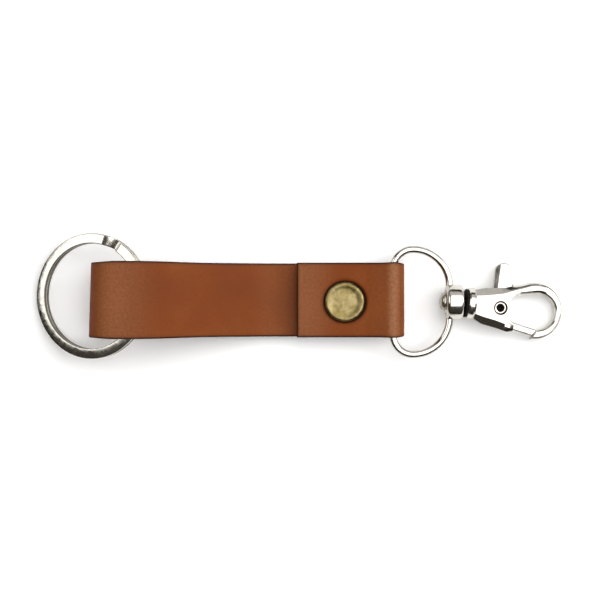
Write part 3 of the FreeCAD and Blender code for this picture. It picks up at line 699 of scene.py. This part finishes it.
def cast_bar(stations):
    """A casting lofted through sections, each given by its two edges, its half thickness, its
    shoulders' two widths and their depth, and how round they are: 0 is a chamfer, 1 a quarter ellipse."""
    metal = bmesh.new()
    previous = None
    for left, right, half, left_wide, right_wide, deep, soft in stations:
        left, right = Vector(left), Vector(right)
        across = (right - left).normalized()
        most = (right - left).length * 0.48
        wides = min(left_wide, most), min(right_wide, most)
        shoulder = []
        for index in range(shoulder_steps + 1):
            part = index / shoulder_steps
            turn = part * math.pi / 2
            shoulder.append((part + (1 - math.cos(turn) - part) * soft,
                             half - deep + deep * (part + (math.sin(turn) - part) * soft)))
        shape = [(left + across * wides[0] * inward, level) for inward, level in shoulder]
        shape += [(right - across * wides[1] * inward, level) for inward, level in reversed(shoulder)]
        shape += [(at, -level) for at, level in reversed(shape)]
        points = [metal.verts.new((at.x * MM, at.y * MM, level * MM)) for at, level in shape]
        ring = [metal.edges.new((points[i - 1], points[i])) for i in range(len(points))]
        if previous:
            bmesh.ops.bridge_loops(metal, edges=previous + ring)
        previous = ring
    bmesh.ops.holes_fill(metal, edges=[edge for edge in metal.edges if edge.is_boundary], sides=0)
    bmesh.ops.dissolve_limit(metal, angle_limit=math.radians(0.5), verts=metal.verts[:], edges=metal.edges[:])
    bmesh.ops.recalc_face_normals(metal, faces=metal.faces[:])
    return metal


def touching(centre, radius, point):
    """Where a line from a point on the left touches the upper side of a circle."""
    away = point - centre
    return math.atan2(away.y, away.x) - math.acos(radius / away.length)


def on_circle(centre, radius, angle):
    """The point at an angle on a circle."""
    return centre + Vector((math.cos(angle), math.sin(angle))) * radius


outer_root, inner_root = Vector((12.6, 4.75)), Vector((13.9, 2.2))
outer_touch = touching(outer_middle, outer_radius, outer_root)
inner_touch = touching(inner_middle, inner_radius, inner_root)
outer_nose, inner_nose = math.radians(-92.3), math.radians(-83.7)
stations = [
    ((5.1, 3.55), (5.1, -3.85), 2.75, 1.5, 1.4, 1.0, 0.1),
    ((7.2, 4.15), (7.2, -4.95), 2.8, 1.9, 1.9, 1.0, 0),
    ((9.4, 4.42), (11.4, -5.8), 2.8, 1.75, 2.0, 1.0, 0),
    ((10.6, 4.56), (13.7, -6.4), 2.8, 1.65, 2.0, 1.0, 0),
    ((11.4, 4.64), (14.3, -5.2), 2.8, 1.6, 0.9, 1.0, 0),
    ((12.0, 4.7), (14.4, -4.2), 2.8, 1.5, 0.4, 1.0, 0),
    ((12.7, 4.8), (14.15, -2.2), 2.8, 1.4, 0.4, 1.0, 0),
    ((13.4, 4.97), (13.93, 0.0), 2.8, 1.3, 0.45, 1.0, 0.1),
    ((14.0, 5.12), (14.1, 1.1), 2.8, 1.25, 0.5, 1.0, 0.1),
    ((14.7, 5.3), (14.55, 1.95), 2.72, 1.2, 0.55, 1.0, 0.2),
    ((15.6, 5.53), (15.4, 2.65), 2.5, 1.15, 0.6, 1.0, 0.3),
    ((16.8, 5.85), (16.7, 3.2), 2.25, 1.1, 0.8, 1.05, 0.4),
]
corner_stations = [
    ((13.3, -4.0), (12.9, -6.18), 2.78, 0.4, 1.9, 1.0, 0),
    ((14.4, -4.12), (14.0, -6.45), 2.78, 0.4, 1.8, 1.0, 0),
    ((15.1, -4.2), (14.8, -6.52), 2.6, 0.4, 1.0, 0.9, 0.1),
    ((15.65, -4.3), (15.3, -6.5), 2.42, 0.4, 0.6, 0.8, 0.2),
]
finger_steps = 44
for index in range(finger_steps + 1):
    part = index / finger_steps
    outer = on_circle(outer_middle, outer_radius, outer_touch + (outer_nose - outer_touch) * part)
    inner = on_circle(inner_middle, inner_radius, inner_touch + (inner_nose - inner_touch) * part)
    half = finger_half + root_swell * max(0.0, 1 - part * 5)
    stations.append((outer, inner, half, *finger_shoulder, 0.5 + 0.5 * min(1.0, part * 4)))
neck_profile = [(1.5, 3.35), (3.6, 3.35), (3.85, 3.42), (4.05, 3.75), (4.05, 4.75), (3.9, 5.1), (3.55, 5.3),
                (2.7, 5.4), (2.5, 7.0), (1.5, 7.0), (1.5, 3.35)]


def cut_out(piece, cutter):
    """Cuts one closed shape out of another."""
    cut = piece.modifiers.new("cut", "BOOLEAN")
    cut.operation, cut.solver, cut.object = "DIFFERENCE", "EXACT", cutter
    shaped = bpy.data.meshes.new_from_object(piece.evaluated_get(bpy.context.evaluated_depsgraph_get()))
    piece.modifiers.clear()
    piece.data = shaped
    bpy.data.objects.remove(cutter)


def plate(outline, half):
    """A flat plate from its outline, in millimetres."""
    metal = bmesh.new()
    face = metal.faces.new([metal.verts.new((x * MM, y * MM, -half * MM)) for x, y in outline])
    run_on(metal, [face], (0, 0, 2 * half * MM))
    bmesh.ops.recalc_face_normals(metal, faces=metal.faces[:])
    return metal


def drill_out(piece, radius, low, high):
    """Drills a round hole on the gate pin's axis, in millimetres."""
    drill = bmesh.new()
    middle = Vector((pin_middle.x, pin_middle.y, (low + high) / 2)) * MM
    bmesh.ops.create_cone(drill, cap_ends=True, segments=48, radius1=radius * MM, radius2=radius * MM,
                          depth=(high - low) * MM, matrix=Matrix.Translation(middle))
    cut_out(piece, to_object("drill", drill))


def close_seams(metal):
    """Where another edge's corner lies on an open edge, the edge is split there and welded to it."""
    seam_width = 0.02 * MM
    for edge in [edge for edge in metal.edges if edge.is_boundary]:
        start, along = edge.verts[0], edge.verts[1].co - edge.verts[0].co
        for corner in [vert for vert in metal.verts if vert.is_boundary and vert not in edge.verts]:
            part = (corner.co - start.co).dot(along) / along.length_squared
            if 0.01 < part < 0.99 and (start.co + along * part - corner.co).length < seam_width:
                split = bmesh.utils.edge_split(edge, start, part)[1]
                bmesh.ops.weld_verts(metal, targetmap={split: corner})
                break


def tumbled(piece, sharper_than):
    """Edges sharper than some degrees are rounded a little, as tumbling leaves a casting."""
    for face in piece.data.polygons:
        face.use_smooth = True
    edges = piece.modifiers.new("soft_edges", "BEVEL")
    edges.width, edges.segments = 0.16 * MM, 3
    edges.limit_method, edges.angle_limit = "ANGLE", math.radians(sharper_than)
    edges.harden_normals = True


hook = to_object("cast_hook", cast_bar(stations))
block_corner = to_object("block_corner", cast_bar(corner_stations))
slot_outline, slot_half = [
    (8.95, -0.5), (6.9, 3.1), (6.6, 8.0), (15.3, 8.0), (15.25, 5.5), (14.3, 1.6), (18.0, 1.6),
    (18.0, -6.75), (12.1, -4.75), (9.4, -2.7)], 1.5
for casting in (hook, block_corner):
    cut_out(casting, to_object("slot_cutter", plate(slot_outline, slot_half)))
pin_hole, sunk_radius, sunk_level, past_block = 1.55, 1.8, 2.5, 4.0
drill_out(hook, pin_hole, -past_block, past_block)
drill_out(hook, sunk_radius, sunk_level, past_block)
drill_out(hook, sunk_radius, -past_block, -sunk_level)
metal = bmesh.new()
metal.from_mesh(hook.data)
metal.from_mesh(block_corner.data)
bpy.data.objects.remove(block_corner)
close_seams(metal)
join_in(metal, lathed(neck_profile))
metal.transform(hook_place)
metal.to_mesh(hook.data)
metal.free()
tumbled(hook, 17)
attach(hook, "hook")
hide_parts("hook_body")
hook.data.materials.append(nickel_cast)

# ---- Gate -----------------------------------------------------------------------------
# A flat nickel-plated casting in the hook's slot: the thumb piece above, the hub round the
# pin and the arm that closes the mouth. The pin is a rolled tube; the spring is bare wire.

gate_half, tip_reach = 1.3, 11.2
gate_hole, spring_room, spring_floor = 1.6, 2.8, 0.3
facet_turn, facet_fall = math.radians(-3), math.radians(-24)


def rounded_outline(corners):
    """A closed outline in millimetres, each corner (x, y, radius) rounded by an arc."""
    points = []
    for index, (x, y, radius) in enumerate(corners):
        at = Vector((x, y))
        into = (at - Vector(corners[index - 1][:2])).normalized()
        out = (Vector(corners[(index + 1) % len(corners)][:2]) - at).normalized()
        turn = math.atan2(into.x * out.y - into.y * out.x, into.dot(out))
        start = at - into * radius * math.tan(abs(turn) / 2)
        centre = start + Vector((-into.y, into.x)) * radius * math.copysign(1, turn)
        steps = max(1, round(abs(math.degrees(turn)) / 9)) if radius > 0.1 else 1
        for step in range(steps + 1):
            points.append(tuple(centre + Matrix.Rotation(turn * step / steps, 2) @ (start - centre)))
    return points


def gate_tip(across):
    """How far the gate's end reaches: it is an arc about the pin, so that it clears the nose."""
    return pin_middle.x + math.sqrt(tip_reach ** 2 - (across - pin_middle.y) ** 2)


thumb = plate(rounded_outline([
    (9.75, -0.5, 0.5), (9.9, 11.1, 2.1), (14.35, 11.1, 2.1), (14.9, 5.7, 1.0), (13.7, 1.9, 1.5),
    (13.5, -2.7, 1.0), (15.9, -3.95, 0.8), (gate_tip(-5.3), -5.3, 0.2), (gate_tip(-7.05), -7.05, 0.2),
    (15.4, -5.85, 1.0), (12.2, -4.3, 1.0), (10.2, -2.4, 1.0)]), gate_half)
rims = [edge for edge in thumb.edges if edge.calc_face_angle() > 1.2
        and abs(edge.verts[0].co.z - edge.verts[1].co.z) < 0.01 * MM]
bmesh.ops.bevel(thumb, geom=rims, offset=0.5 * MM, segments=5, affect="EDGES", profile=0.5, material=-1)
gate = to_object("cast_gate", thumb)
side_facet = plate([(-2.5, -3.0), (0, -3.0), (0, 8.0), (-2.5, 8.0)], 1.0)
side_facet.transform(Matrix.Translation((10.85 * MM, 5.5 * MM, gate_half * MM))
                     @ Matrix.Rotation(facet_turn, 4, "Z") @ Matrix.Rotation(facet_fall, 4, "Y")
                     @ Matrix.Translation((0, 0, 1.0 * MM)))
cut_out(gate, to_object("facet_cutter", side_facet))
drill_out(gate, gate_hole, -past_block, past_block)
drill_out(gate, spring_room, spring_floor, past_block)
gate.data.transform(hook_place)
tumbled(gate, 20)
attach(gate, "gate")
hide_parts("gate_lever")
gate.data.materials.append(nickel_cast)


# The swivel's rivet: cast zinc, nickel plated and a little duller, its head domed by setting.
rivet_profile = [(0, -3.6), (1.2, -3.58), (1.8, -3.42), (2.2, -3.1), (2.35, -2.7), (2.35, -2.05),
                 (2.25, -1.95), (1.5, -1.95), (1.5, 8.2), (0, 8.2)]
swivel_line = hook_place @ Matrix.Rotation(math.pi / 2, 4, "Y")
rivet = turned("swivel_pin", [(radius * MM, along * MM) for radius, along in rivet_profile], swivel_line, 64)
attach(rivet, "hook")
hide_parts("swivel_rivet")
nickel_worn = plated("nickel_plated_zinc_worn", "#b9b4a8", 0.2, 0.4, 0.4, 1.2 * MM)
rivet.data.materials.append(nickel_worn)

# The pin: a tube rolled from nickel-plated strip, its ends chamfered.
pin_place = hook_place @ Matrix.Translation((pin_middle.x * MM, pin_middle.y * MM, 0))
pin_radius, pin_bore, pin_end, pin_chamfer = 1.53 * MM, 0.95 * MM, 2.42 * MM, 0.15 * MM
tube = [(pin_bore, 0), (pin_bore, pin_end - pin_chamfer), (pin_bore + pin_chamfer, pin_end),
        (pin_radius - pin_chamfer, pin_end), (pin_radius, pin_end - pin_chamfer), (pin_radius, 0)]
tube += [(radius, -level) for radius, level in reversed(tube)]
gate_pin = turned("rolled_pin", tube, pin_place, 48)
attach(gate_pin, "hook")
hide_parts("gate_pin")
gate_pin.data.materials.append(nickel_wire)

# Painted shade: the pin's bore, the groove round the pin and the groove between the neck and the collar,
# where no light reaches, get thin black sheets and a black washer.
film = 0.02 * MM
lining_floor, lining_top = 1.0 * MM, pin_end - 0.2 * MM
bore_shade_sheet = turned("pin_bore_shade_sheet", [
    (0, lining_floor - 0.1 * MM), (pin_bore - film, lining_floor - 0.1 * MM), (pin_bore - film, lining_top),
    (pin_bore - 2 * film, lining_top), (pin_bore - 2 * film, lining_floor), (0, lining_floor)], pin_place, 48)
gap_outer, gap_low, gap_high = 1.78 * MM, pin_end + 0.05 * MM, pin_end + 0.2 * MM
groove_shade_sheet = turned("pin_groove_shade_sheet", [
    (pin_radius + film, gap_low), (gap_outer, gap_low), (gap_outer, gap_high), (pin_radius + film, gap_high),
    (pin_radius + film, gap_low)], pin_place, 48)
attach(groove_shade_sheet, "hook")
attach(bore_shade_sheet, "hook")
washer_bore, washer_radius, washer_low, washer_high = 1.55 * MM, 3.6 * MM, 2.78 * MM, 3.38 * MM
shade_washer = turned("neck_shade_washer", [
    (washer_bore, washer_low), (washer_radius - 0.05 * MM, washer_low),
    (washer_radius, washer_low + 0.07 * MM), (washer_radius, washer_high), (washer_bore, washer_high),
    (washer_bore, washer_low)], swivel_line, 64)
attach(shade_washer, "hook")
# Painted shade: a flat black that stands for the shade in these gaps.
shade_black, tree, shader = new_material("painted_shade_black")
shader.inputs["Base Color"].default_value = linear("#140f0c")
shader.inputs["Roughness"].default_value = 0.8
shader.inputs["Specular IOR Level"].default_value = 0.2
for piece in (bore_shade_sheet, groove_shade_sheet, shade_washer):
    piece.data.materials.append(shade_black)

# Bare spring steel: drawn wire, grey and satin, left unplated inside the hub and the socket.
spring_steel = plated("spring_steel", "#9a9896", 0.3, 0.45, 0.1, 1.0 * MM)
refinish("gate_spring", spring_steel)
refinish("snap_socket_spring", spring_steel)
